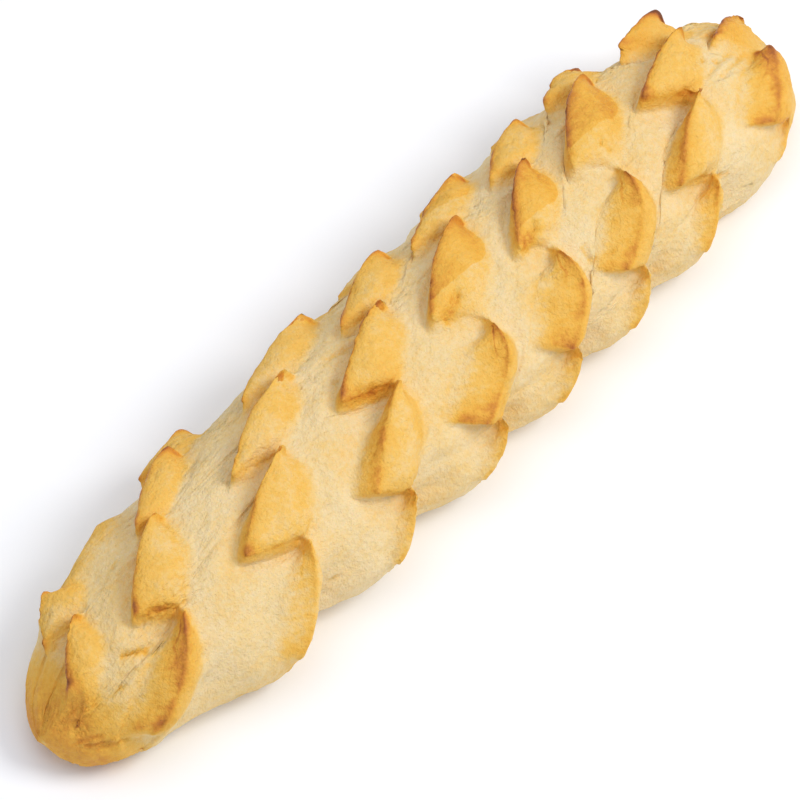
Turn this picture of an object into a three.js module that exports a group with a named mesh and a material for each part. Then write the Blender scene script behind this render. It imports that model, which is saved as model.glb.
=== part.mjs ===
// A scissor-cut baguette: a blunt, flat-bottomed loaf baked in one piece, whose crust was snipped in
// slanting rows before baking, so that it carries rows of pointed, raised teeth.
//
// The surface is one grid. Its lines run along the loaf from end to end, and its columns follow the
// zigzag of each row of snips. A point is given by x along the loaf, an angle round it from the top
// (negative on the near side, -Y) and a height over the plain body.
// Frame: X along the loaf, Z up, origin on the flat base under the middle. Millimetres and degrees.
import * as THREE from "three";

// Driving dimensions of the plain body under the teeth.
const bodyLength = 360;
const bodyWidth = 73;
const sideShift = 2.1; // the near side swells out more, so this centres the finished loaf
const bodyHeight = 49;
const baseAngle = 132; // where the side meets the flat base, from the top
const endBluntness = { near: 5, far: 7 }; // exponents of the rounding in plan at the -X and +X end
const noseHeight = 14; // how high over the base the two ends come to their point

// The snips.
const notchDepth = 2.8; // how deep the notch between two teeth goes into the body
const tipDepth = 0.6; // how deep the cut is in front of a tooth's tip
const fullLift = 4; // a tooth lifted less than this is a mere fold and its notches are shallower
const bandCrown = 0.8; // how far the uncut band between two rows stands proud

// The near side swells out at the feet of each row's teeth and draws in behind their heels.
const nearSwell = 11.5; // from the one to the other, in the middle of the loaf
const swellFall = 0.02; // less by this for each millimetre towards the +X end
const nearSink = 7.5; // how far under the plain body it draws in
const farSwell = 1; // the same swell at the far side
const farPinch = 7; // how much the far side draws in short of the +X end
const plainDrop = 10; // where a row has no tooth it eases back over this length

// Each row of snips runs from the near side over the top to the far side. A tooth is
// [tip x, tip angle, heel x, heel angle, lift, run]: the tip is its pointed front, the heel the
// upper rear corner of its free edge, lift is how high that edge stands and run is how wide the
// sloping cut face under it is. Where lift is 0 the row goes on as a plain line with no tooth.
// A last number, 2, marks a tooth as broad as two of the next row's.
const rows = [
  [
    [-174.5, -112, -174.5, -98, 0, 0],
    [-175.5, -70, -173.5, -28, 0, 0],
    [-169.5, 0, -148.5, 27, 5, 4, 2],
    [-162.5, 40, -145.5, 57, 5.5, 3],
    [-152.5, 78, -138.5, 96, 2.2, 3],
    [-142.5, 108, -136.5, 118, 0, 0],
  ],
  [
    [-159, -112, -161, -98, 0, 0],
    [-165, -60, -125, -20, 6.5, 14],
    [-140, -4, -107, 25, 7, 3.5, 2],
    [-116, 30, -81, 58, 6, 3],
    [-97, 65, -67, 80, 5.5, 3],
    [-72, 104, -57, 118, 0, 0],
  ],
  [
    [-104.5, -120, -106.5, -106, 0, 0],
    [-110.5, -78, -79.5, -40, 5, 11],
    [-102.5, -23, -62.5, 2, 7.5, 4.5],
    [-83.5, 9, -38.5, 32, 7, 3],
    [-57.5, 42, -12.5, 64, 6, 3],
    [-26.5, 76, 3.5, 98, 2.2, 3],
    [-4.5, 108, 1.5, 118, 0, 0],
  ],
  [
    [-52.5, -118, -54.5, -106, 0, 0],
    [-58.5, -88, -38.5, -64, 3.5, 5],
    [-56.5, -40, -18.5, -14, 8, 9],
    [-39.5, -2, 1.5, 22, 7, 4],
    [-15.5, 30, 20.5, 54, 5.5, 3],
    [-0.5, 66, 33.5, 92, 2.2, 3],
    [25.5, 104, 33.5, 118, 0, 0],
  ],
  [
    [-8.5, -118, -10.5, -108, 0, 0],
    [-14.5, -92, 3.5, -72, 3.5, 5],
    [-13.5, -46, 20.5, -22, 6.5, 17],
    [4.5, -5, 42.5, 27, 7, 3],
    [23.5, 36, 60.5, 57, 6, 3],
    [41.5, 68, 71.5, 92, 2.2, 3],
    [61.5, 104, 71.5, 118, 0, 0],
  ],
  [
    [30.5, -118, 28.5, -108, 0, 0],
    [24.5, -92, 40.5, -72, 3.5, 5],
    [28.5, -50, 55.5, -20, 6.5, 16],
    [44.5, -8, 74.5, 24, 7, 4],
    [60.5, 32, 89.5, 55, 5.5, 3],
    [77.5, 68, 103.5, 92, 2.2, 3],
    [91.5, 104, 101.5, 118, 0, 0],
  ],
  [
    [67.5, -118, 65.5, -106, 0, 0],
    [61.5, -90, 77.5, -66, 3.5, 5],
    [62.5, -42, 92.5, -14, 6.5, 14],
    [79.5, 1, 113.5, 38, 7.5, 3],
    [97.5, 48, 121.5, 66, 6, 3],
    [108.5, 78, 129.5, 96, 2.2, 3],
    [119.5, 106, 127.5, 118, 0, 0],
  ],
  [
    [103.5, -116, 101.5, -100, 0, 0],
    [97.5, -84, 117.5, -54, 4, 6],
    [99.5, -38, 133.5, -12, 7.5, 7],
    [114.5, 5, 147.5, 22, 8, 5],
    [127.5, 38, 150, 45, 9, 3],
    [139.5, 74, 153.5, 92, 2.2, 3],
    [143.5, 106, 149.5, 118, 0, 0],
  ],
  [
    [136.5, -116, 144, -104, 0, 0],
    [144.5, -90, 158, -72, 1.5, 3],
    [142.5, -46, 167, -16, 6.5, 7],
    [154, 8, 172, 26, 5, 3],
    [163, 44, 170, 60, 0, 0],
    [163.5, 76, 166, 92, 0, 0],
    [162.5, 106, 163, 118, 0, 0],
  ],
];

// How finely each stretch of the grid is cut up.
const lowerArmSteps = 2; // notch to tip
const upperArmSteps = 4; // tip to heel
const flankSteps = 2; // last tooth to the edge of the base
const cutSteps = 2; // up a cut face
const crustSteps = 4; // over a tooth
const bandSteps = 3; // over the band to the next row
const endSteps = 6; // last row to the nose

const radians = THREE.MathUtils.degToRad;
const mix = THREE.MathUtils.lerp;
const smooth = THREE.MathUtils.smoothstep;

// The body's section is an ellipse cut off flat. Its centre is this high over the base.
const baseCosine = Math.cos(radians(baseAngle));
const centreHeight = (bodyHeight * -baseCosine) / (1 - baseCosine);

// How large the section is at x, as a share of the middle one, and where x is for such a share.
const bluntness = (x) => (x < 0 ? endBluntness.near : endBluntness.far);
const sectionShare = (x) => Math.sqrt(Math.max(0, 1 - Math.abs((2 * x) / bodyLength) ** bluntness(x)));
const xOfShare = (share, side) => side * (bodyLength / 2) * (1 - share * share) ** (1 / bluntness(side));

function bodyPoint(x, angle) {
  const share = sectionShare(x);
  const centre = Math.hypot(centreHeight * share, noseHeight * (1 - share));
  const y = sideShift + (bodyWidth / 2) * share * Math.sin(radians(angle));
  const z = centre + (bodyHeight - centreHeight) * share * Math.cos(radians(angle));
  return new THREE.Vector3(x, y, Math.max(0, z));
}

// The body's point moved out along its own normal by the height.
function crustPoint({ x, angle, height }) {
  const point = bodyPoint(x, angle);
  if (height === 0) return point;
  const reach = Math.min(0.5, (bodyLength / 2 - Math.abs(x)) / 2);
  const along = bodyPoint(x + reach, angle).sub(bodyPoint(x - reach, angle));
  const around = bodyPoint(x, angle + 1).sub(bodyPoint(x, angle - 1));
  const normal = new THREE.Vector3().crossVectors(along, around).normalize();
  return point.addScaledVector(normal, height);
}

const spot = (x, angle, height) => ({ x, angle, height });
const between = (a, b, t) => spot(mix(a.x, b.x, t), mix(a.angle, b.angle, t), mix(a.height, b.height, t));

// One station of a row: where a grid line crosses the foot of the cut, the tooth's free edge and the
// rear edge of the row, behind which the plain band starts.
const station = (foot, edge, rear) => ({ foot, edge, rear });

// The stations of one tooth. A narrow cut face has its free edge close over the foot of the cut, a
// wide one lies back as a plate, so that its raised corner and heel move down towards the tooth below.
function toothStations([tipX, tipAngle, heelX, heelAngle, lift, run, breadth = 1], [belowX, belowAngle]) {
  const strength = Math.min(1, lift / fullLift);
  const notch = spot(belowX + 1, belowAngle + 3, -notchDepth * strength);
  const rim = spot(belowX + 2.5, belowAngle + 3 + strength, notch.height);
  const tip = spot(tipX, tipAngle, -tipDepth * strength);
  const heel = spot(heelX, heelAngle, -notchDepth * strength);
  const corner = spot(tipX + 1.5 + 0.53 * run, tipAngle + (5 - 1.17 * run) * strength, 0.8 * lift);
  const raisedHeel = spot(heelX + 1, heelAngle - 0.8 * run, 0.7 * lift);
  const rearStart = spot(belowX + 6, belowAngle + 2, 0);
  const rearEnd = spot(heelX + (lift ? 4 : plainDrop), heelAngle - 0.7 * run, 0);
  const rearAtTip = 0.3;
  const made = [];

  const lowerSteps = lowerArmSteps + (breadth - 1) * (lowerArmSteps + upperArmSteps + 1);
  for (let i = 0; i <= lowerSteps; i++) {
    const t = i / lowerSteps;
    const edge = between(rim, corner, t);
    edge.height = mix(rim.height, corner.height, t ** 0.5);
    made.push(station(between(notch, tip, t), edge, between(rearStart, rearEnd, t * rearAtTip)));
  }
  for (let i = 1; i <= upperArmSteps; i++) {
    const t = i / upperArmSteps;
    const foot = between(tip, heel, t);
    foot.angle = mix(tip.angle, heel.angle, 1 - (1 - t) ** mix(1, 2.1, strength));
    const edge = between(corner, raisedHeel, t);
    edge.angle = mix(corner.angle, raisedHeel.angle, 1 - (1 - t) ** mix(1, 1.9 - 0.05 * run, strength));
    edge.height += 0.25 * lift * Math.sin(Math.PI * t);
    made.push(station(foot, edge, between(rearStart, rearEnd, mix(rearAtTip, 1, t))));
  }
  return made;
}

// All stations of a row, from the near edge of the base over the top to the far edge.
function rowStations(teeth) {
  const [firstX, firstAngle] = teeth[0];
  const [lastX, lastAngle] = teeth.at(-1).slice(2);
  const lifted = teeth.flatMap((tooth, i) =>
    toothStations(tooth, i === 0 ? [firstX + 3, firstAngle - 6] : teeth[i - 1].slice(2)),
  );
  const flank = (x, angle, t) => {
    return station(spot(x, angle, 0), spot(x + 1 + t, angle, 0), spot(x + 4 + 4 * t, angle, 0));
  };
  const near = [];
  const far = [];
  for (let i = 0; i < flankSteps; i++) {
    const t = i / flankSteps;
    near.push(flank(firstX + 5, mix(-baseAngle, firstAngle - 6, t), t));
    far.push(flank(lastX - 2, mix(baseAngle, lastAngle + 2, t), t));
  }
  return [...near, ...lifted, ...far.reverse()];
}

// How far the sides swell: phase is 1 at the feet of the teeth and 0 behind their heels.
function sideSwell({ x, angle }, phase) {
  const nearSide = smooth(-angle, 48, 88) * (1 - smooth(-angle, 110, 131));
  const farSide = smooth(angle, 38, 75) * (1 - smooth(angle, 105, 131));
  const ends = smooth(x, -160, -110) * (1 - smooth(x, 148, 172));
  const near = ((nearSwell - swellFall * x) * phase - nearSink) * ends;
  return nearSide * near + farSide * (farSwell * phase - farPinch * smooth(x, 108, 136) * ends);
}

function bandHeight(angle) {
  return bandCrown * (1 - smooth(Math.abs(angle), 90, 126));
}

// The columns from one row's feet to just before the next row's.
function columnsOfRow(row, nextRow) {
  const columns = [];
  for (let i = 0; i < cutSteps; i++) {
    columns.push(
      row.map(({ foot, edge }) => {
        const point = between(foot, edge, i / cutSteps);
        point.height += sideSwell(point, 1);
        return point;
      }),
    );
  }
  for (let i = 0; i < crustSteps; i++) {
    const t = i / crustSteps;
    columns.push(
      row.map(({ edge, rear }) => {
        const point = between(edge, rear, t);
        point.height = mix(edge.height, rear.height, t ** 2.2) + sideSwell(point, 1 - smooth(t, 0, 1));
        return point;
      }),
    );
  }
  for (let i = 0; i < bandSteps; i++) {
    const t = i / bandSteps;
    columns.push(
      row.map(({ rear }, j) => {
        const point = between(rear, nextRow[j].foot, t);
        point.height += bandHeight(point.angle) * Math.sin(Math.PI * t) + sideSwell(point, smooth(t, 0, 1));
        return point;
      }),
    );
  }
  return columns;
}

// The columns from a row's line to the nose of the loaf, the nose itself left out.
function columnsToNose(line, side) {
  const columns = [];
  for (let i = 1; i < endSteps; i++) {
    const t = i / endSteps;
    columns.push(
      line.map((point) => {
        const turned = mix(Math.acos(sectionShare(point.x)), Math.PI / 2, t);
        return spot(xOfShare(Math.cos(turned), side), point.angle, point.height * (1 - t) ** 2);
      }),
    );
  }
  return columns;
}

function loafGeometry() {
  const stations = rows.map(rowStations);
  const last = stations.at(-1);
  const rearLine = last.map(({ rear }) => rear);
  const columns = [
    ...columnsToNose(stations[0].map(({ foot }) => foot), -1).reverse(),
    ...stations.slice(0, -1).flatMap((row, i) => columnsOfRow(row, stations[i + 1])),
    ...columnsOfRow(last, last).slice(0, cutSteps + crustSteps),
    rearLine,
    ...columnsToNose(rearLine, 1),
  ];

  const lines = columns[0].length;
  const points = columns.flat().map(crustPoint);
  const nearNose = points.push(bodyPoint(-bodyLength / 2, 0)) - 1;
  const farNose = points.push(bodyPoint(bodyLength / 2, 0)) - 1;
  const faces = [];
  // The last line and the first are joined by the flat base.
  for (let j = 0; j < lines; j++) {
    const next = (j + 1) % lines;
    for (let i = 0; i < columns.length - 1; i++) {
      const [a, b, c, d] = [i * lines + j, (i + 1) * lines + j, (i + 1) * lines + next, i * lines + next];
      faces.push(a, b, c, a, c, d);
    }
    const lastColumn = (columns.length - 1) * lines;
    faces.push(nearNose, j, next, farNose, lastColumn + next, lastColumn + j);
  }
  const geometry = new THREE.BufferGeometry().setFromPoints(points);
  geometry.setIndex(faces);
  geometry.computeVertexNormals();
  return geometry;
}

const bakedCrust = new THREE.MeshStandardMaterial({ color: 0xe3b765, roughness: 0.8, metalness: 0 });

const loaf = new THREE.Mesh(loafGeometry(), bakedCrust);
loaf.name = "loaf";

const baguette = new THREE.Group();
baguette.add(loaf);
export default baguette;
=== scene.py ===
"""A scissor-cut baguette on a pale table: one loaf, its crust lifted in slanting rows of toasted points."""

import math

import bpy
import numpy as np
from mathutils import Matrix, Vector


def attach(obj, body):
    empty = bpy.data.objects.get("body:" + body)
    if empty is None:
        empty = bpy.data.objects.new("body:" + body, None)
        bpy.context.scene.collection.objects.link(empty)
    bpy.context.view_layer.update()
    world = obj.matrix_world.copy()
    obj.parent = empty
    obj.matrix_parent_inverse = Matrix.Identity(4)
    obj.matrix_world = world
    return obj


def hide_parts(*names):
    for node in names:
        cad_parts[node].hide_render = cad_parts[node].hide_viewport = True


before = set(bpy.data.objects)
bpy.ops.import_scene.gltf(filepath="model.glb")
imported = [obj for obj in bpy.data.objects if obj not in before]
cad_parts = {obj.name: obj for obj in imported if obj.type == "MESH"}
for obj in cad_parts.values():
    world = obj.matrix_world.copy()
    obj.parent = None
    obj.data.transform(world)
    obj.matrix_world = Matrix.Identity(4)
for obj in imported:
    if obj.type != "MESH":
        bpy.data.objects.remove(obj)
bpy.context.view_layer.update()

MM = 0.001

# ------------------------------------------------------------------------------------------------
# The shaped dough. A point of the crust is given by x along the loaf (mm), an angle round it from
# the top (degrees, negative on the near side, -Y) and a height over the plain body (mm).
# ------------------------------------------------------------------------------------------------
BODY_LENGTH = 360
BODY_WIDTH = 73
SIDE_SHIFT = 2.1          # the near side swells out more, so this centres the finished loaf
BODY_HEIGHT = 49
BASE_ANGLE = 132          # where the side meets the flat base
BLUNTNESS = (5, 7)        # exponents of the rounding in plan, at the -X and at the +X end
NOSE_HEIGHT = 14          # how high over the base the two ends come to their point
MM_PER_DEGREE = 0.62      # round the body, near enough everywhere

NEAR_SWELL = 11.5         # each row swells out this far at the near side, in the middle of the loaf,
SWELL_FALL = 0.02         # less by this for each millimetre towards the +X end,
FAR_SWELL = 1             # and this far at the far side
NEAR_SINK = 7.5           # what the near side lies under the plain body behind the heels
FAR_PINCH = 7             # how much the far side draws in short of the +X end
PLAIN_DROP = 11           # below and above the teeth a row eases back over this length
PLAIN_EDGE = 1.5          # and its edge lies this far behind its foot
BAND_CROWN = 0.8          # the uncut band between two rows stands this much proud,
FULL_BAND = 12            # where it is at least this wide

# The shape every tooth has, in mm and degrees, besides its own numbers. A narrow cut face stands up.
# A wide one lies back as a plate, so its raised corner and heel move down towards the tooth below.
FULL_LIFT = 4             # a tooth lifted less than this is a mere fold
NOTCH_DEPTH = 4.2         # the notch between two teeth goes this deep into the body
TIP_DEPTH = 0.6           # the cut in front of a tooth's tip
PLATE_RUNS = (5, 15)      # how wide a cut face is where it starts to lie back, and where it is a plate
PLATE_TIP_HEIGHT = 0.2    # a plate isn't cut in at its foot, which ends this high at the tip
PLATE_HEEL_HEIGHT = 0.3   # and this high at the heel
HEEL_INSET = (2, 4)       # the cut ends this far short of the heel, along the loaf and round it
CORNER_BACK = (1.5, 0.53) # the raised corner stands this far behind the tip, and more for each mm of run
CORNER_RISE = (5, -1.17)  # and this many degrees over it
CORNER_LIFT = 0.75        # shares of the lift
HEEL_LIFT = 0.8
HEEL_RISE = (1, -0.2)     # degrees over the heel, and more for each mm of run
EDGE_CROWN = 0.3          # how much higher the free edge stands towards its heel, a share of the lift
LEAF_BULGE = 8            # how far a leaf bulges back from the line between its notch and its heel
REAR_MARGIN = 4           # a leaf ends at least this far before the next row's cut


def tooth(tip, heel, lift, run=3, toast=0.4, blush=0, soft=0, bow=0, breadth=1):
    """One snipped tooth. Tip is its pointed front and heel the upper rear corner of its free edge,
    both (x, angle). Lift is how high that edge stands, run how wide the sloping cut face under it is,
    toast how dark it baked, blush how much of it is darker down to a clear arc, soft how gently its
    lower side slopes, bow how far the free edge bows out, and breadth 2 marks a tooth as broad as
    two of the next row's."""
    return {
        "tip": tip, "heel": heel, "lift": lift, "run": run, "toast": toast, "blush": blush,
        "soft": soft, "bow": bow, "breadth": breadth,
    }


def plain(start, end):
    """A stretch of a row with no tooth."""
    return tooth(start, end, lift=0, run=0, toast=0)


ROWS = [
    [
        plain((-174.5, -112), (-174.5, -98)),
        plain((-175.5, -70), (-173.5, -28)),
        tooth((-169.5, 0), (-148.5, 27), 5, 4, toast=0.45, soft=0.9, breadth=2),
        tooth((-162.5, 40), (-145.5, 57), 5.5, 3, toast=0.35, soft=0.4),
        tooth((-152.5, 78), (-138.5, 96), 2.2, 3, toast=0.5),
        plain((-142.5, 108), (-136.5, 118)),
    ],
    [
        plain((-159, -112), (-161, -98)),
        tooth((-165, -60), (-127, -20), 6.5, 13, toast=0.58, soft=1, bow=4),
        tooth((-140, -4), (-107, 25), 7, 3.5, toast=0.4, breadth=2),
        tooth((-116, 30), (-81, 58), 6, 3, toast=0.6, soft=0.5),
        tooth((-97, 65), (-67, 80), 5.5, 3, toast=0.6, soft=0.4),
        plain((-72, 104), (-57, 118)),
    ],
    [
        plain((-104.5, -120), (-106.5, -106)),
        tooth((-110.5, -78), (-79.5, -40), 5, 11, toast=0.14, soft=0.6, bow=5),
        tooth((-102.5, -23), (-62.5, 2), 7.5, 4.5, toast=0.3),
        tooth((-83.5, 9), (-38.5, 32), 7, 3, toast=0.4, soft=0.5),
        tooth((-57.5, 42), (-12.5, 64), 6, 3, toast=0.45, soft=0.5),
        tooth((-26.5, 76), (3.5, 98), 2.2, 3, toast=0.5),
        plain((-4.5, 108), (1.5, 118)),
    ],
    [
        plain((-52.5, -118), (-54.5, -106)),
        tooth((-58.5, -88), (-38.5, -64), 3.5, 5, toast=0.1, soft=0.7, bow=3),
        tooth((-56.5, -40), (-18.5, -14), 8, 9, toast=0.35),
        tooth((-39.5, -2), (1.5, 22), 7, 4, toast=0.5),
        tooth((-15.5, 30), (20.5, 54), 5.5, 3, toast=0.5, soft=0.6),
        tooth((-0.5, 66), (33.5, 92), 2.2, 3, toast=0.5),
        plain((25.5, 104), (33.5, 118)),
    ],
    [
        plain((-8.5, -118), (-10.5, -108)),
        tooth((-14.5, -92), (3.5, -72), 3.5, 5, toast=0.1, soft=0.7, bow=3),
        tooth((-13.5, -46), (20.5, -22), 6.5, 17, toast=0.42, bow=7),
        tooth((4.5, -5), (42.5, 27), 7, 3, toast=0.4, blush=0.9, soft=0.8),
        tooth((23.5, 36), (60.5, 57), 6, 3, toast=0.5, blush=0.5, soft=0.6),
        tooth((41.5, 68), (71.5, 92), 2.2, 3, toast=0.5),
        plain((61.5, 104), (71.5, 118)),
    ],
    [
        plain((30.5, -118), (28.5, -108)),
        tooth((24.5, -92), (40.5, -72), 3.5, 5, toast=0.1, soft=0.7, bow=3),
        tooth((28.5, -50), (55.5, -20), 6.5, 16, toast=0.42, bow=7),
        tooth((44.5, -8), (74.5, 24), 7, 4, toast=0.4, blush=0.9, soft=0.8),
        tooth((60.5, 32), (89.5, 55), 5.5, 3, toast=0.5, soft=0.6),
        tooth((77.5, 68), (103.5, 92), 2.2, 3, toast=0.5),
        plain((91.5, 104), (101.5, 118)),
    ],
    [
        plain((67.5, -118), (65.5, -106)),
        tooth((61.5, -90), (77.5, -66), 3.5, 5, toast=0.1, soft=0.7, bow=3),
        tooth((62.5, -42), (92.5, -14), 6.5, 14, toast=0.42, bow=7),
        tooth((79.5, 1), (113.5, 38), 7.5, 3, toast=0.4, blush=0.9, soft=1),
        tooth((97.5, 48), (121.5, 66), 6, 3, toast=0.55, soft=0.6),
        tooth((108.5, 78), (129.5, 96), 2.2, 3, toast=0.5),
        plain((119.5, 106), (127.5, 118)),
    ],
    [
        plain((103.5, -116), (101.5, -100)),
        tooth((97.5, -84), (117.5, -54), 4, 6, toast=0.15, soft=0.6, bow=3),
        tooth((99.5, -38), (133.5, -12), 7.5, 7, toast=0.4, soft=0.3),
        tooth((114.5, 5), (147.5, 22), 8, 5, toast=0.5),
        tooth((127.5, 38), (150, 45), 9, 3, toast=0.95, soft=0.5),
        tooth((139.5, 74), (153.5, 92), 2.2, 3, toast=0.5),
        plain((143.5, 106), (149.5, 118)),
    ],
    [
        plain((136.5, -116), (144, -104)),
        tooth((144.5, -90), (158, -72), 1.5, 3, toast=0.2, soft=1),
        tooth((139.5, -44), (165, -15), 6.5, 14, toast=0.5, bow=4),
        tooth((154, 8), (172, 26), 5, 3, toast=0.6, soft=1),
        plain((163, 44), (170, 60)),
        plain((163.5, 76), (166, 92)),
        plain((162.5, 106), (163, 118)),
    ],
]

# Folds, slits and pits, each from one (x, angle) to another, with width and depth in mm, and painted
# shade darkening them by their depth. A negative depth makes a ridge or a mound.
CREASES = [
    ((13.5, -7), (19.5, -3.5), 1.6, 2.6),          # folds across two leaves
    ((50.5, -8.5), (57, -5.5), 1.6, 2.6),
    ((-24, 27), (-17, 24), 1.3, 0.8),
    ((-148, -13), (-141, -22), 1.1, 2.4),    # torn slits beside teeth
    ((66, -29), (65, -38), 0.9, 1.8),
    ((120, -54), (125, -61), 1.1, 2.0),
    ((-133, -8), (-128, -13), 0.9, 1.0),
    ((-31, -3), (-24, -8), 2.2, 1.3),        # torn crumb under a tip
    ((-156, -27), (-155, -28), 1.1, 2.0),    # pits
    ((-28, 12), (-28, 13), 0.9, 1.6),
    ((-127, 32), (-126, 33), 1.0, 1.3),
    ((-74, -81), (-74, -80), 0.9, 1.4),
    ((96, 2), (96, 2), 0.8, 1.4),
    ((98, -2), (98, -2), 0.8, 1.3),
    ((71, -40), (72, -41), 0.8, 1.1),
    ((152, -2), (152, -1), 0.9, 1.3),
    ((148, 3), (149, 4), 0.8, 1.1),
    ((-173, -58), (-168, -64), 1.3, 0.8),    # wrinkles where the near end was pinched
    ((-170, -68), (-163, -71), 1.3, 0.8),
    ((-174, -48), (-169, -52), 1.2, 0.7),
    ((146, -6), (160, -2), 1.0, 0.9),        # and at the far end
    ((148, -13), (163, -9), 1.1, 0.9),
    ((-139, 55), (-114, 67), 6.5, -3.6),     # a long swelling with no cut under it
]

# Grid lines from the near edge of the base to the far one, and columns from nose to nose.
FLANK_STEPS = 6           # from the base up to where a row starts
SIDE_SLOT_STEPS = 7       # a row's stretch without teeth
HEEL_STEPS = 4            # round the back of a heel to the notch
LOWER_ARM_STEPS = 10      # notch to tip
UPPER_ARM_STEPS = 22      # tip to heel
CUT_STEPS = 8             # up a cut face
CRUST_STEPS = 20          # back over a leaf
BAND_STEPS = 14           # over the band to the next row
END_STEPS = 14            # from the first or last row to the nose

# What each point of the grid carries: lift, run, toast, blush, how far it lies along the tooth, on
# which arm (-1 lower, 1 upper) and soft. A band keeps only what the plate before it browns by.
NO_LOOKS = [0, 0, 0, 0, 0, 0, 0]
BAND_LOOKS = [0, 1, 1, 0, 1, 1, 0]
FAR_FROM_EDGE = 99.0      # mm, where there is no free edge

base_cosine = math.cos(math.radians(BASE_ANGLE))
CENTRE_HEIGHT = BODY_HEIGHT * -base_cosine / (1 - base_cosine)


def mix(a, b, t):
    return a + (b - a) * t


def smooth(x, low, high):
    t = np.clip((x - low) / (high - low), 0, 1)
    return t * t * (3 - 2 * t)


def section_share(x):
    """How large the body's section is at x, as a share of the largest."""
    bluntness = np.where(x < 0, *BLUNTNESS)
    return np.sqrt(np.clip(1 - np.abs(2 * x / BODY_LENGTH) ** bluntness, 0, 1))


def body_point(x, angle):
    """The plain body under the teeth."""
    share = section_share(x)
    centre = np.hypot(CENTRE_HEIGHT * share, NOSE_HEIGHT * (1 - share))
    a = np.radians(angle)
    y = SIDE_SHIFT + BODY_WIDTH / 2 * share * np.sin(a)
    z = centre + (BODY_HEIGHT - CENTRE_HEIGHT) * share * np.cos(a)
    return np.stack([x, y, np.maximum(z, 0)], axis=-1)


def crust_point(x, angle, height):
    """The body's point moved out along its own normal by the height."""
    reach = np.minimum(0.5, (BODY_LENGTH / 2 - np.abs(x)) / 2)
    along = body_point(x + reach, angle) - body_point(x - reach, angle)
    around = body_point(x, angle + 1) - body_point(x, angle - 1)
    normal = np.cross(along, around)
    normal /= np.maximum(np.linalg.norm(normal, axis=-1, keepdims=True), 1e-9)
    return body_point(x, angle) + normal * height[..., None]


def strength_of(shape):
    return min(1, shape["lift"] / FULL_LIFT)


def plateness(run):
    return smooth(run, *PLATE_RUNS)


def heel_foot(shape):
    """Where the cut ends at a tooth's heel."""
    (x, angle), strength = shape["heel"], strength_of(shape)
    height = mix(-NOTCH_DEPTH * strength, PLATE_HEEL_HEIGHT, plateness(shape["run"]))
    return np.array([x - HEEL_INSET[0] * strength, angle - HEEL_INSET[1] * strength, height])


def over_heel(shape, back, height):
    """A point over a tooth's heel, this far behind it."""
    x, angle = shape["heel"]
    return np.array([x + back, angle + HEEL_RISE[0] + HEEL_RISE[1] * shape["run"], height])


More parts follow.
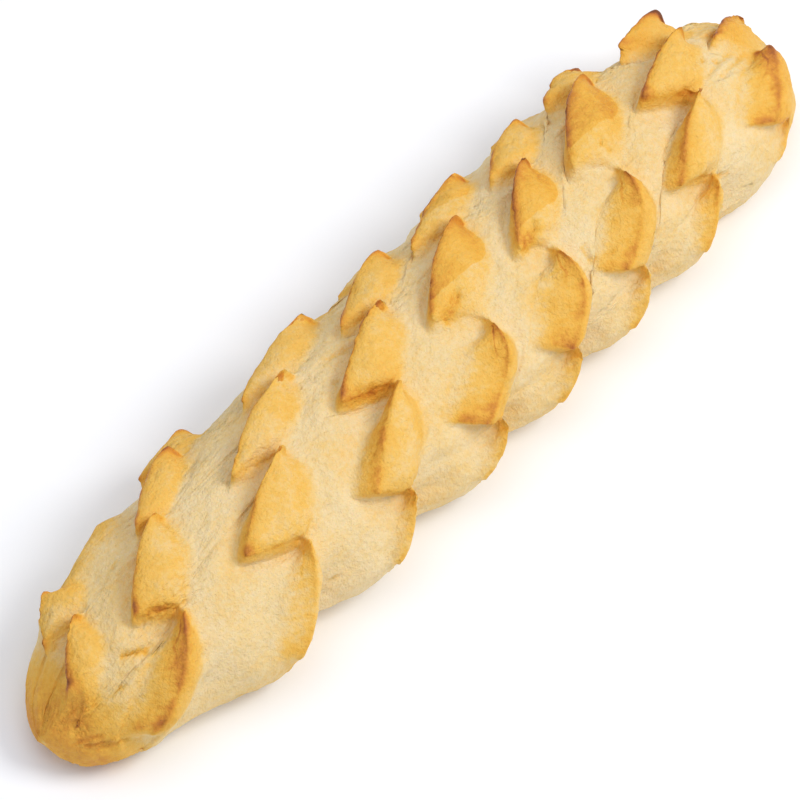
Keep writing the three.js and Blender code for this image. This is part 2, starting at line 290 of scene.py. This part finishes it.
def tooth_stations(shape, below):
    """The grid lines of one tooth, each as foot, edge and rear (x, angle, height) and its looks.
    Below is the tooth before it in the row, whose heel it starts behind."""
    lift, run, soft = shape["lift"], shape["run"], shape["soft"]
    (tip_x, tip_angle), (below_x, below_angle) = shape["tip"], below["heel"]
    strength, plate = strength_of(shape), plateness(run)
    depth = NOTCH_DEPTH * strength * strength_of(below) * (1 - 0.9 * soft)

    below_heel, heel = heel_foot(below), heel_foot(shape)
    below_raised = over_heel(below, 1, 0.92 * below["lift"])
    raised_heel = over_heel(shape, 1, HEEL_LIFT * lift)
    notch = np.array([below_heel[0] + 1, below_heel[1] + 2, -depth])
    rim = np.array([below_x + 1.5, below_angle + 3.5, -0.5 * depth])
    tip = np.array([tip_x, tip_angle, mix(-TIP_DEPTH * strength, PLATE_TIP_HEIGHT, plate)])
    corner = np.array([
        tip_x + CORNER_BACK[0] + CORNER_BACK[1] * run,
        tip_angle + (CORNER_RISE[0] + CORNER_RISE[1] * run) * strength,
        CORNER_LIFT * lift,
    ])
    below_rear, rear_end = over_heel(below, 2.5, 0), over_heel(shape, 2.5, 0)
    rear_start = np.array([below_x + 6, below_angle + 2, 0.0])
    made = []

    def add(foot, edge, rear, along, arm):
        looks = [lift, run, shape["toast"], shape["blush"], along, arm, soft]
        made.append((foot, edge, rear, looks))

    def leaf_end(edge):
        """Where the leaf behind this point of the free edge ends, on an arc from notch to heel."""
        share = np.clip((edge[1] - rim[1]) / (raised_heel[1] - rim[1]), 0, 1)
        end = mix(rear_start, rear_end, share)
        end[0] = max(end[0] + LEAF_BULGE * strength * math.sin(math.pi * share), edge[0] + 2.5)
        return end

    # Round the back of the heel below: from its raised corner down into the notch.
    for i in range(1, HEEL_STEPS + 1):
        t = i / (HEEL_STEPS + 1)
        edge = mix(below_raised, rim, t)
        edge[0] += 0.8 * math.sin(math.pi * t)
        edge[2] = mix(below_raised[2], rim[2], t ** mix(0.9, 0.35, plateness(below["run"])))
        foot = mix(below_heel, notch, t)
        foot[2] = mix(below_heel[2], notch[2], t ** 0.6)
        add(foot, edge, mix(below_rear, rear_start, t), 0, 0)

    # A soft lower side has its brink further back and rises only close to the tip.
    lines_of_a_tooth = HEEL_STEPS + LOWER_ARM_STEPS + 1 + UPPER_ARM_STEPS
    lower_steps = LOWER_ARM_STEPS + (shape["breadth"] - 1) * lines_of_a_tooth
    for i in range(lower_steps + 1):
        t = i / lower_steps
        edge = mix(rim, corner, t)
        edge[0] += 3 * soft * math.sin(math.pi * t)
        edge[2] = mix(rim[2], corner[2], t ** mix(0.45, 3.5, soft))
        add(mix(notch, tip, t), edge, leaf_end(edge), t - 1, -1)
    for i in range(1, UPPER_ARM_STEPS + 1):
        t = i / UPPER_ARM_STEPS
        foot = mix(tip, heel, t)
        foot[1] = mix(tip[1], heel[1], 1 - (1 - t) ** mix(1, 2.1, strength))
        edge = mix(corner, raised_heel, t)
        edge[1] = mix(corner[1], raised_heel[1], 1 - (1 - t) ** mix(1, 1.9 - 0.05 * run, strength))
        edge[0] += shape["bow"] * math.sin(math.pi * t ** 0.9)
        edge[2] += EDGE_CROWN * lift * t * (1 - 0.6 * t ** 4)
        add(foot, edge, leaf_end(edge), t, 1)
    return made


def plain_stations(start, end, steps):
    """Grid lines with no tooth, from one (x, angle) to just before another."""
    made = []
    for i in range(steps):
        line = mix(np.array([*start, 0.0]), np.array([*end, 0.0]), i / steps)
        made.append((line, line + [PLAIN_EDGE, 0, 0], line + [PLAIN_DROP, 0, 0], NO_LOOKS))
    return made


def row_stations(teeth):
    """All grid lines of a row, from the near edge of the base over the top to the far edge."""
    first, last = teeth[0], teeth[-1]
    stations = plain_stations((first["tip"][0], -BASE_ANGLE), first["tip"], FLANK_STEPS)
    stations += plain_stations(first["tip"], first["heel"], SIDE_SLOT_STEPS)
    for below, shape in zip(teeth, teeth[1:-1]):
        stations += tooth_stations(shape, below)
    stations += plain_stations(last["tip"], last["heel"], SIDE_SLOT_STEPS)
    return stations + plain_stations((last["heel"][0], BASE_ANGLE), last["heel"], FLANK_STEPS)[::-1]


def side_swell(points, phase):
    """How far the sides swell out: phase is 1 at the feet of the teeth and 0 behind the heels."""
    x, angle = points[:, 0], points[:, 1]
    near_side = smooth(-angle, 48, 88) * (1 - smooth(-angle, 110, 131))
    far_side = smooth(angle, 38, 75) * (1 - smooth(angle, 105, 131))
    ends = smooth(x, -160, -110) * (1 - smooth(x, 148, 172))
    near = ((NEAR_SWELL - SWELL_FALL * x) * phase - NEAR_SINK) * ends
    return near_side * near + far_side * (FAR_SWELL * phase - FAR_PINCH * smooth(x, 108, 136) * ends)


def gap(a, b):
    """How far apart two lines of points lie, in millimetres."""
    return np.hypot(a[:, 0] - b[:, 0], (a[:, 1] - b[:, 1]) * MM_PER_DEGREE)


def column(points, looks, cut=0.0, across=0.0, ridge=FAR_FROM_EDGE, leaf=0.0):
    """One column of the grid. Cut is 1 on a cut face, across runs from 0 at its foot to 1 at its
    edge, ridge is the distance from the free edge in millimetres, and leaf runs from 1 there to 0
    at the rear, and on to -1 over the band behind."""
    ones = np.ones(len(points))
    return points, looks * ones[:, None], cut * ones, across * ones, ridge * ones, leaf * ones


def row_columns(foot, edge, rear, looks, next_row):
    """A row's columns: up its cut faces, down its leaves and over the band to the next row."""
    columns = []
    for i in range(CUT_STEPS):
        t = i / CUT_STEPS
        points = mix(foot, edge, t)
        points[:, 2] = mix(foot[:, 2], edge[:, 2], t ** 0.85) + side_swell(points, 1)
        ridge = gap(points, edge) + (1 - t) * looks[:, 0] * 0.5
        columns.append(column(points, looks, cut=min(1, 2.5 * t), across=t, ridge=ridge))
    for i in range(CRUST_STEPS):
        t = (i / CRUST_STEPS) ** 1.15
        points = mix(edge, rear, t)
        pillow = looks[:, 0] * 1.2 * t * (1 - t) ** 2
        fall = mix(0.45 * t ** 1.5, 1, smooth(t, 0.6, 1.0))
        points[:, 2] = mix(edge[:, 2], rear[:, 2], fall) + pillow + side_swell(points, 1 - smooth(t, 0, 1))
        columns.append(column(points, looks, max(0, 1 - 8 * t), 1, gap(points, edge), 1 - t))
    if next_row is None:
        return columns
    next_foot, _, _, next_looks = next_row
    crown = BAND_CROWN * np.clip(gap(rear, next_foot) / FULL_BAND, 0, 1)
    for i in range(BAND_STEPS):
        t = i / BAND_STEPS
        points = mix(rear, next_foot, t)
        points[:, 2] = mix(rear[:, 2], next_foot[:, 2], t ** 2) + crown * math.sin(math.pi * t) ** 2
        points[:, 2] += side_swell(points, smooth(t, 0, 1))
        columns.append(column(points, next_looks * BAND_LOOKS, leaf=-t))
    return columns


def end_columns(line, side):
    """The columns from a grid line to just before the nose at that end."""
    columns = []
    for i in range(1, END_STEPS):
        t = i / END_STEPS
        turned = mix(np.arccos(section_share(line[:, 0])), math.pi / 2, t)
        points = line.copy()
        points[:, 0] = side * BODY_LENGTH / 2 * (1 - np.cos(turned) ** 2) ** (1 / BLUNTNESS[side > 0])
        points[:, 2] *= (1 - t) ** 2
        columns.append(column(points, np.array(NO_LOOKS)))
    return columns


def crust_grid():
    """The whole crust as columns of (x, angle, height) points, with the looks of each point."""
    rows = []
    for teeth in ROWS:
        rows.append([np.array(lines, float) for lines in zip(*row_stations(teeth))])
    for (_, edge, rear, _), (next_foot, _, _, _) in zip(rows, rows[1:]):
        ahead = np.minimum(rear[:, 0], next_foot[:, 0] - REAR_MARGIN)
        rear[:, 0] = np.maximum(ahead, edge[:, 0] + 1)
    columns = []
    for row, next_row in zip(rows, rows[1:] + [None]):
        columns += row_columns(*row, next_row)
    last_line = rows[-1][2]
    columns.append(column(last_line.copy(), np.array(NO_LOOKS)))
    return end_columns(columns[0][0], -1)[::-1] + columns + end_columns(last_line, 1)


def creases(x, angle):
    """How deep all the creases together are at each point."""
    depth_there = np.zeros(x.shape)
    for (x0, angle0), (x1, angle1), width, depth in CREASES:
        length_x, length_angle = x1 - x0, (angle1 - angle0) * MM_PER_DEGREE
        from_x, from_angle = x - x0, (angle - angle0) * MM_PER_DEGREE
        length = max(length_x ** 2 + length_angle ** 2, 1e-6)
        t = np.clip((from_x * length_x + from_angle * length_angle) / length, 0, 1)
        away = np.hypot(from_x - t * length_x, from_angle - t * length_angle)
        depth_there += depth * np.exp(-((away / width) ** 2))
    return depth_there


def knead(values, passes):
    """Evens a grid of values out between neighbours, along the columns and the lines."""
    for _ in range(passes):
        for axis in (0, 1):
            size = values.shape[axis]
            padded = np.take(values, [0, *range(size), size - 1], axis)
            ahead = np.take(padded, range(2, size + 2), axis)
            behind = np.take(padded, range(size), axis)
            values = mix(values, (ahead + behind) / 2, 0.5)
    return values


def near(distance, width):
    """1 where the distance is nought, falling off over the width."""
    return np.exp(-((distance / width) ** 2))


def crust_looks(columns, crease):
    """How each point of the grid baked, where painted shade darkens it, and what it lies on, as named
    attributes.
    """
    points, looks, cut, across, ridge, leaf = columns
    lift, run, toast, blush, along, arm, soft = (looks[..., i] for i in range(len(NO_LOOKS)))
    strength = np.clip(lift / FULL_LIFT, 0, 1)
    plate = plateness(run)
    upper, lower = arm > 0, arm < 0
    sharp = np.where(lower, 1 - soft, 1)
    soft_fade = np.where(lower, 1 - soft * np.clip(-along, 0, 1) ** 0.7, upper)
    on_leaf = smooth(leaf, 0.0, 0.16) * strength * soft_fade

    # A leaf goldens all over, most by its free edge and towards its heel, and again just behind.
    height_along = np.where(upper, along, 0.25 * (1 + along))
    by_edge = np.exp(-ridge / 5) * (0.35 + 0.65 * height_along)
    leaf_bake = on_leaf * np.sqrt(toast) * (0.20 + (0.20 + 0.70 * toast) * by_edge)
    rim_bake = 0.09 * near(leaf - 0.14, 0.10) * upper * strength * (1 - plate)

    # A cut face goldens towards its edge, a plate all over and a little before its foot too.
    standing_face = 0.05 + 0.42 * toast + (0.08 + 0.42 * toast) * across ** 2 * (0.4 + 0.6 * along)
    plate_face = 0.10 + 0.24 * toast + (0.5 * toast - 0.1) * across ** 3 * np.clip(along, 0, 1)
    # Painted shade: a steep lower cut face, turned from the light, is darkened along with its browning,
    # less the softer that side slopes.
    lower_face_bake_and_shade = sharp * (0.12 + 0.22 * toast)
    face_bake_and_shade = cut * strength * np.where(upper, mix(standing_face, plate_face, plate), lower_face_bake_and_shade)
    before_plate = np.clip(-leaf, 0, 1) ** 4 * plate * upper * (0.04 + 0.30 * toast)

    # Both ends baked browner, and the -X end, turned from the light, is darker still as painted shade.
    end_bake_and_shade = 0.34 * smooth(-points[..., 0], 152, 172) + 0.13 * smooth(points[..., 0], 148, 168)
    tip_line = near(along, 0.09) * (upper | lower) * mix(near(ridge, 2.6), cut, plate)
    heel_spot = near(along - 1, 0.12) * upper * near(ridge, 3.2)
    return {
        # The browning, with the painted shade of the steep lower cut faces and of the -X end in it.
        "bake_and_shade": knead(np.where(cut > 0.5, face_bake_and_shade, leaf_bake + rim_bake + before_plate) + end_bake_and_shade, 3),
        "brink": knead(near(ridge, 1.5) * strength * (0.3 + 0.7 * toast) * sharp, 1),
        "burnt": knead((tip_line * sharp + 0.25 * heel_spot) * strength, 1),
        "cut_face": knead(cut * strength * upper, 2),
        "blush": knead(blush * on_leaf * upper * smooth(along, 0.04, 0.24), 2),
        "cracked": plate * cut * upper * smooth(along, 0.4, 0.8),
        "from_edge": (1 - across) * run,
        "along": along * lift * 6,
        "across": across * np.maximum(run, 3),
        # Crease depth, for the painted shade in creases, slits and pits.
        "crease": np.clip(crease, 0, 2) / 2,
        "swelling": np.clip(-crease, 0, 3) / 3,
    }


def loaf_mesh():
    """The crust as one closed mesh in metres, with what each point looks like as attributes."""
    columns = [np.array(values) for values in zip(*crust_grid())]
    x, angle, height = np.moveaxis(columns[0], -1, 0)
    crease = creases(x, angle)
    place = crust_point(x, angle, height)
    dent = crust_point(x, angle, height - crease) - place
    crisp = 0.6 * near(columns[4], 1.2)[..., None]
    place = mix(knead(place, 3), place, crisp) + dent
    place[..., 2] = np.maximum(place[..., 2], 0)

    count, lines = place.shape[:2]
    column_start = np.arange(count - 1)[:, None] * lines
    here = (column_start + np.arange(lines)).ravel()
    above = (column_start + (np.arange(lines) + 1) % lines).ravel()
    faces = np.stack([here, here + lines, above + lines, above], axis=1).tolist()
    near_nose, far_nose, last = count * lines, count * lines + 1, (count - 1) * lines
    for j in range(lines):
        k = (j + 1) % lines
        faces += [(near_nose, j, k), (far_nose, last + k, last + j)]
    noses = body_point(np.array([-BODY_LENGTH / 2, BODY_LENGTH / 2]), np.zeros(2))
    vertices = np.concatenate([place.reshape(-1, 3), noses]) * MM

    mesh = bpy.data.meshes.new("loaf_crust")
    mesh.from_pydata(vertices.tolist(), [], faces)
    mesh.update()
    for name, values in crust_looks(columns, crease).items():
        layer = mesh.attributes.new(name, "FLOAT", "POINT")
        layer.data.foreach_set("value", np.append(values.ravel(), [0, 0]).astype(np.float32))
    mesh.shade_smooth()
    return mesh


# ------------------------------------------------------------------------------------------------
# Materials
# ------------------------------------------------------------------------------------------------
def colour(hex_value):
    """An sRGB hex colour as linear RGBA."""
    def linear(c):
        return c / 12.92 if c <= 0.04045 else ((c + 0.055) / 1.055) ** 2.4
    return [linear(int(hex_value[i:i + 2], 16) / 255) for i in (1, 3, 5)] + [1]


def node(tree, kind, inputs=None, out=0, **settings):
    """Adds a node, sets its properties, sets or links its inputs, and returns one of its outputs."""
    made = tree.nodes.new(kind)
    for name, value in settings.items():
        setattr(made, name, value)
    for name, value in (inputs or {}).items():
        socket = made.inputs[name]
        if isinstance(value, bpy.types.NodeSocket):
            tree.links.new(value, socket)
        else:
            socket.default_value = value
    return made.outputs[out] if len(made.outputs) else made


def new_material(name):
    material = bpy.data.materials.new(name)
    material.use_nodes = True
    material.node_tree.nodes.clear()
    return material, material.node_tree


CRUST_TONES = [
    (0.02, "#ecd8ae"), (0.16, "#ebcd91"), (0.32, "#ecbb59"), (0.46, "#e9ae3e"),
    (0.6, "#d78e29"), (0.78, "#b3661d"), (1.0, "#753d14"),
]


def baked_wheat_crust():
    """Baked wheat crust: dry and matt, faintly satin where it browned. Cream where the dough spread
    last, gold on the lifted leaves, deep orange to brown along their free edges and tips. Painted
    shade darkens the steep lower cut faces, the -X end, and the creases and pores."""
    material, tree = new_material("baked_wheat_crust")
    place = node(tree, "ShaderNodeTexCoord", out="Object")
    painted = {}
    for name in (
        "bake_and_shade", "brink", "burnt", "cut_face", "blush", "cracked", "from_edge", "along", "across",
        "crease", "swelling", "pore",
    ):
        painted[name] = node(tree, "ShaderNodeAttribute", out="Fac", attribute_name=name)

    # Streaks torn up the cut faces, in millimetres along the tooth and across its face.
    up_face = node(tree, "ShaderNodeMath", {0: painted["across"], 1: 0.3}, operation="MULTIPLY")
    on_face = node(tree, "ShaderNodeCombineXYZ", {"X": painted["along"], "Y": up_face})
    # Flour grain and the finest wrinkles are both drawn a little coarse so that they show.
    noise = {}
    for name, vector, size, detail, roughness in (
        ("broad", place, 24 * MM, 2, 0.5),
        ("patchy", place, 8 * MM, 4, 0.6),
        ("wander", place, 7 * MM, 2, 0.4),
        ("mottle", place, 2.2 * MM, 4, 0.65),
        ("wrinkles", place, 1.8 * MM, 3, 0.55),
        ("grain", place, 0.7 * MM, 2, 0.6),
        ("streaks", on_face, 2.4, 3, 0.6),
    ):
        noise[name] = node(tree, "ShaderNodeTexNoise", {
            "Vector": vector, "Scale": 1 / size, "Detail": detail, "Roughness": roughness,
        })

    # The blush ends in a ragged line.
    ragged = {0: noise["patchy"], 1: 0.3, 2: painted["blush"]}
    ragged_blush = node(tree, "ShaderNodeMath", ragged, operation="MULTIPLY_ADD")
    # A thin scorched crack runs down a plate from its upper corner, 2 to 6 mm in from its edge.
    crack_place = node(tree, "ShaderNodeMapRange", {
        "Value": noise["wander"], "From Min": 0.25, "From Max": 0.75, "To Min": 6.2, "To Max": 1.8,
    }, interpolation_type="SMOOTHSTEP")
    places = {0: painted["from_edge"], 1: crack_place}
    off_crack = node(tree, "ShaderNodeMath", places, operation="SUBTRACT")
    off_crack = node(tree, "ShaderNodeMath", {0: off_crack}, operation="ABSOLUTE")

    # What browns the crust, and the painted shade in its creases: where each acts, and the range of a
    # pattern over which it grows from the least to the most.
    patches = node(tree, "ShaderNodeMapRange", {
        "Value": noise["patchy"], "From Min": 0.3, "From Max": 0.7, "To Min": 0.87, "To Max": 1.13,
    }, interpolation_type="SMOOTHSTEP")
    bake_and_shade = node(tree, "ShaderNodeMath", {0: painted["bake_and_shade"], 1: patches}, operation="MULTIPLY")
    for where, pattern, low, high, least, most in (
        (1.0, noise["broad"], 0.3, 0.7, 0.10, 0.20),
        (1.0, noise["mottle"], 0.3, 0.7, -0.04, 0.05),
        (1.0, ragged_blush, 0.51, 0.58, 0.0, 0.15),
        (painted["cut_face"], noise["streaks"], 0.3, 0.7, -0.04, 0.06),
        (painted["brink"], noise["patchy"], 0.35, 0.65, 0.12, 0.34),
        (painted["burnt"], noise["patchy"], 0.3, 0.7, 0.18, 0.36),
        # Painted shade: creases, slits and pits darken with their depth.
        (painted["crease"], noise["mottle"], 0.3, 0.7, 0.10, 0.26),
        (painted["cracked"], off_crack, 0.2, 1.2, 0.18, 0.0),
    ):
        amount = node(tree, "ShaderNodeMapRange", {
            "Value": pattern, "From Min": low, "From Max": high, "To Min": least, "To Max": most,
        }, interpolation_type="SMOOTHSTEP")
        bake_and_shade = node(tree, "ShaderNodeMath", {0: where, 1: amount, 2: bake_and_shade}, operation="MULTIPLY_ADD")
    # A swelling browns more, and the pores are darkened by their depth as painted shade.
    for name, amount in (("swelling", 0.16), ("pore", 0.12)):
        more = {0: painted[name], 1: amount, 2: bake_and_shade}
        bake_and_shade = node(tree, "ShaderNodeMath", more, operation="MULTIPLY_ADD")

    tone = node(tree, "ShaderNodeValToRGB", {"Fac": bake_and_shade})
    tones = tone.node.color_ramp.elements
    for element, (position, value) in zip(tones, (CRUST_TONES[0], CRUST_TONES[-1])):
        element.position, element.color = position, colour(value)
    for position, value in CRUST_TONES[1:-1]:
        tones.new(position).color = colour(value)

    fine = {0: noise["grain"], 1: 0.5, 2: noise["wrinkles"]}
    relief = node(tree, "ShaderNodeMath", fine, operation="MULTIPLY_ADD")
    bump = node(tree, "ShaderNodeBump", {"Strength": 1.0, "Distance": 0.8 * MM, "Height": relief})
    roughness = node(tree, "ShaderNodeMapRange", {
        "Value": bake_and_shade, "From Min": 0.3, "From Max": 0.8, "To Min": 0.72, "To Max": 0.5,
    }, interpolation_type="SMOOTHSTEP")
    shader = node(tree, "ShaderNodeBsdfPrincipled", {
        "Base Color": tone, "Roughness": roughness, "IOR": 1.45, "Normal": bump,
        "Subsurface Weight": 0.1, "Subsurface Radius": (1.0, 0.55, 0.2), "Subsurface Scale": 3 * MM,
    })
    node(tree, "ShaderNodeOutputMaterial", {"Surface": shader})
    return material


def white_laminate():
    """White laminate: an even, matt table top that gives off only a soft, wide sheen."""
    material, tree = new_material("white_laminate")
    shader = node(tree, "ShaderNodeBsdfPrincipled", {"Base Color": colour("#fafbfd"), "Roughness": 0.9})
    node(tree, "ShaderNodeOutputMaterial", {"Surface": shader})
    return material


# ------------------------------------------------------------------------------------------------
# The crust's relief, as Geometry Nodes
# ------------------------------------------------------------------------------------------------
RELIEF_SIZES = {              # metres
    "Lump size": 0.013,
    "Lump height": 0.0022,
    "Blister size": 0.0042,
    "Blister height": 0.0011,
    "Wrinkle spacing": 0.0028,
    "Wrinkle depth": 0.0007,
    "Tear size": 0.0016,
    "Tear depth": 0.0009,
    "Pore spacing": 0.0085,
    "Pore width": 0.0009,
    "Pore depth": 0.0011,
}


def crust_relief():
    """Moves the crust along its own normal: broad lumps, small blisters, wrinkles lying along the
    loaf, torn crumb on the cut faces and a few open pores, whose depth is kept as an attribute
    for the painted shade in them."""
    tree = bpy.data.node_groups.new("crust_relief", "GeometryNodeTree")
    tree.interface.new_socket("Crust", in_out="INPUT", socket_type="NodeSocketGeometry")
    for name in RELIEF_SIZES:
        tree.interface.new_socket(name, in_out="INPUT", socket_type="NodeSocketFloat")
    tree.interface.new_socket("Finish", in_out="INPUT", socket_type="NodeSocketMaterial")
    tree.interface.new_socket("Crust", in_out="OUTPUT", socket_type="NodeSocketGeometry")
    given = node(tree, "NodeGroupInput").node.outputs
    position = node(tree, "GeometryNodeInputPosition")
    normal = node(tree, "GeometryNodeInputNormal")

    # Each pattern is centred on nought, and drawn out along the loaf where its stretch is under 1.
    pattern = {}
    for name, size, detail, stretch in (
        ("lumps", "Lump size", 1, (1, 1, 1)),
        ("blisters", "Blister size", 2, (1, 1, 1)),
        ("wrinkles", "Wrinkle spacing", 2, (0.5, 1, 1)),
        ("wrinkled places", "Lump size", 1, (0.8, 1.3, 1.1)),
        ("tears", "Tear size", 2, (1, 1, 1)),
    ):
        place = node(tree, "ShaderNodeVectorMath", {0: position, 1: stretch}, operation="MULTIPLY")
        scale = node(tree, "ShaderNodeMath", {0: 1.0, 1: given[size]}, operation="DIVIDE")
        noise = node(tree, "ShaderNodeTexNoise", {"Vector": place, "Scale": scale, "Detail": detail})
        pattern[name] = node(tree, "ShaderNodeMath", {0: noise, 1: 0.5}, operation="SUBTRACT")

    # A wrinkle is a sharp fold wherever its pattern passes nought.
    off_fold = node(tree, "ShaderNodeMath", {0: pattern["wrinkles"]}, operation="ABSOLUTE")
    off_fold = node(tree, "ShaderNodeMath", {0: off_fold, 1: 9.0}, operation="MULTIPLY", use_clamp=True)
    fold = node(tree, "ShaderNodeMath", {0: 1.0, 1: off_fold}, operation="SUBTRACT")
    wrinkled = {"Value": pattern["wrinkled places"], "From Min": -0.05, "From Max": 0.12}
    wrinkled = node(tree, "ShaderNodeMapRange", wrinkled)
    fold = node(tree, "ShaderNodeMath", {0: fold, 1: wrinkled}, operation="MULTIPLY")

    cut_face = node(
        tree, "GeometryNodeInputNamedAttribute", {"Name": "cut_face"}, out="Attribute", data_type="FLOAT",
    )
    tear = node(tree, "ShaderNodeMath", {0: pattern["tears"], 1: cut_face}, operation="MULTIPLY")

    # A pore is a cone in the middle of a cell, in two cells out of five.
    cells = node(tree, "ShaderNodeMath", {0: 1.0, 1: given["Pore spacing"]}, operation="DIVIDE")
    from_middle = node(tree, "ShaderNodeTexVoronoi", {"Vector": position, "Scale": cells}, out="Distance")
    widths = {0: given["Pore width"], 1: given["Pore spacing"]}
    share = node(tree, "ShaderNodeMath", widths, operation="DIVIDE")
    reach = node(tree, "ShaderNodeMath", {0: from_middle, 1: share}, operation="DIVIDE")
    cone = node(tree, "ShaderNodeMath", {0: 1.0, 1: reach}, operation="SUBTRACT", use_clamp=True)
    cell_colour = from_middle.node.outputs["Color"]
    chance = node(tree, "FunctionNodeSeparateColor", {"Color": cell_colour}, out="Red")
    chosen = node(tree, "ShaderNodeMath", {0: chance, 1: 0.6}, operation="GREATER_THAN")
    pore = node(tree, "ShaderNodeMath", {0: cone, 1: chosen}, operation="MULTIPLY")

    height = 0.0
    for raised, size in (
        (pattern["lumps"], "Lump height"), (pattern["blisters"], "Blister height"), (tear, "Tear depth"),
    ):
        more = {0: raised, 1: given[size], 2: height}
        height = node(tree, "ShaderNodeMath", more, operation="MULTIPLY_ADD")
    for sunk, size in ((fold, "Wrinkle depth"), (pore, "Pore depth")):
        depth = node(tree, "ShaderNodeMath", {0: sunk, 1: given[size]}, operation="MULTIPLY")
        height = node(tree, "ShaderNodeMath", {0: height, 1: depth}, operation="SUBTRACT")

    # The base stays flat on the table.
    z = node(tree, "ShaderNodeSeparateXYZ", {"Vector": position}, out="Z")
    above_base = node(tree, "ShaderNodeMapRange", {"Value": z, "From Min": 0.0, "From Max": 3 * MM})
    height = node(tree, "ShaderNodeMath", {0: height, 1: above_base}, operation="MULTIPLY")
    offset = node(tree, "ShaderNodeVectorMath", {0: normal, "Scale": height}, operation="SCALE")

    crust = node(tree, "GeometryNodeSetPosition", {"Geometry": given["Crust"], "Offset": offset})
    kept = {"Geometry": crust, "Name": "pore", "Value": pore}
    crust = node(tree, "GeometryNodeStoreNamedAttribute", kept, data_type="FLOAT", domain="POINT")
    crust = node(tree, "GeometryNodeRealizeInstances", {"Geometry": crust})
    crust = node(tree, "GeometryNodeSetMaterial", {"Geometry": crust, "Material": given["Finish"]})
    node(tree, "NodeGroupOutput", {"Crust": crust})
    return tree


def set_relief(piece, finish):
    """Runs the relief on the piece, leaving it a plain mesh."""
    modifier = piece.modifiers.new("relief", "NODES")
    tree = crust_relief()
    modifier.node_group = tree
    for socket in tree.interface.items_tree:
        if socket.in_out == "INPUT" and socket.name in RELIEF_SIZES:
            modifier[socket.identifier] = RELIEF_SIZES[socket.name]
        elif socket.name == "Finish":
            modifier[socket.identifier] = finish
    graph = bpy.context.evaluated_depsgraph_get()
    relieved = piece.evaluated_get(graph)
    mesh = bpy.data.meshes.new_from_object(relieved, preserve_all_data_layers=True, depsgraph=graph)
    piece.modifiers.clear()
    piece.data = mesh


# ------------------------------------------------------------------------------------------------
# Building it
# ------------------------------------------------------------------------------------------------
def put(name, data):
    made = bpy.data.objects.new(name, data)
    bpy.context.scene.collection.objects.link(made)
    return made


loaf = put("baked_loaf", loaf_mesh())
set_relief(loaf, baked_wheat_crust())
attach(loaf, "root")
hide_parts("loaf")

TABLE_REACH = 3.0             # metres from the loaf to each edge
table_mesh = bpy.data.meshes.new("table_top")
table_corners = [(x * TABLE_REACH, y * TABLE_REACH, 0) for x, y in ((-1, -1), (1, -1), (1, 1), (-1, 1))]
table_mesh.from_pydata(table_corners, [], [(0, 1, 2, 3)])
table_mesh.materials.append(white_laminate())
table = put("table_top", table_mesh)

# ------------------------------------------------------------------------------------------------
# Camera and light
# ------------------------------------------------------------------------------------------------
# The camera looks down on the loaf from beyond its near end, so that it lies corner to corner.
VIEW_AZIMUTH = math.radians(-47.98)
VIEW_ELEVATION = math.radians(60)
VIEW_DISTANCE = 6.0           # metres
VIEW_WIDTH = 266.31           # millimetres across at the loaf
SENSOR_WIDTH = 36

back = Vector((
    math.sin(VIEW_AZIMUTH) * math.cos(VIEW_ELEVATION),
    -math.cos(VIEW_AZIMUTH) * math.cos(VIEW_ELEVATION),
    math.sin(VIEW_ELEVATION),
))
aim = Vector((-5, SIDE_SHIFT, 14.8)) * MM
camera_data = bpy.data.cameras.new("camera")
camera_data.sensor_width = SENSOR_WIDTH
camera_data.lens = SENSOR_WIDTH * VIEW_DISTANCE / (VIEW_WIDTH * MM)
camera_data.clip_end = 20
camera = put("camera", camera_data)
camera.location = aim + back * VIEW_DISTANCE
camera.rotation_euler = (-back).to_track_quat("-Z", "Y").to_euler()
bpy.context.scene.camera = camera

# A soft key from the right of the view, a broad overhead fill and a bright surround. Metres, watts.
for name, direction, size, power, tint in (
    ("key", Vector((0.43, -0.48, 0.77)) * 2.5, 1.2, 30, "#fffcf8"),
    ("overhead", Vector((0, 0, 2.2)), 2.0, 11, "#ffffff"),
):
    light = bpy.data.lights.new(name, "AREA")
    light.shape = "DISK"
    light.size = size
    light.energy = power
    light.color = colour(tint)[:3]
    lamp = put(name, light)
    lamp.location = aim + direction
    lamp.rotation_euler = (-direction).to_track_quat("-Z", "Y").to_euler()

surround = bpy.data.worlds.new("surround")
surround.use_nodes = True
background = surround.node_tree.nodes["Background"]
background.inputs["Color"].default_value = colour("#f0f5ff")
background.inputs["Strength"].default_value = 0.64
bpy.context.scene.world = surround
bpy.context.scene.view_settings.view_transform = "Standard"
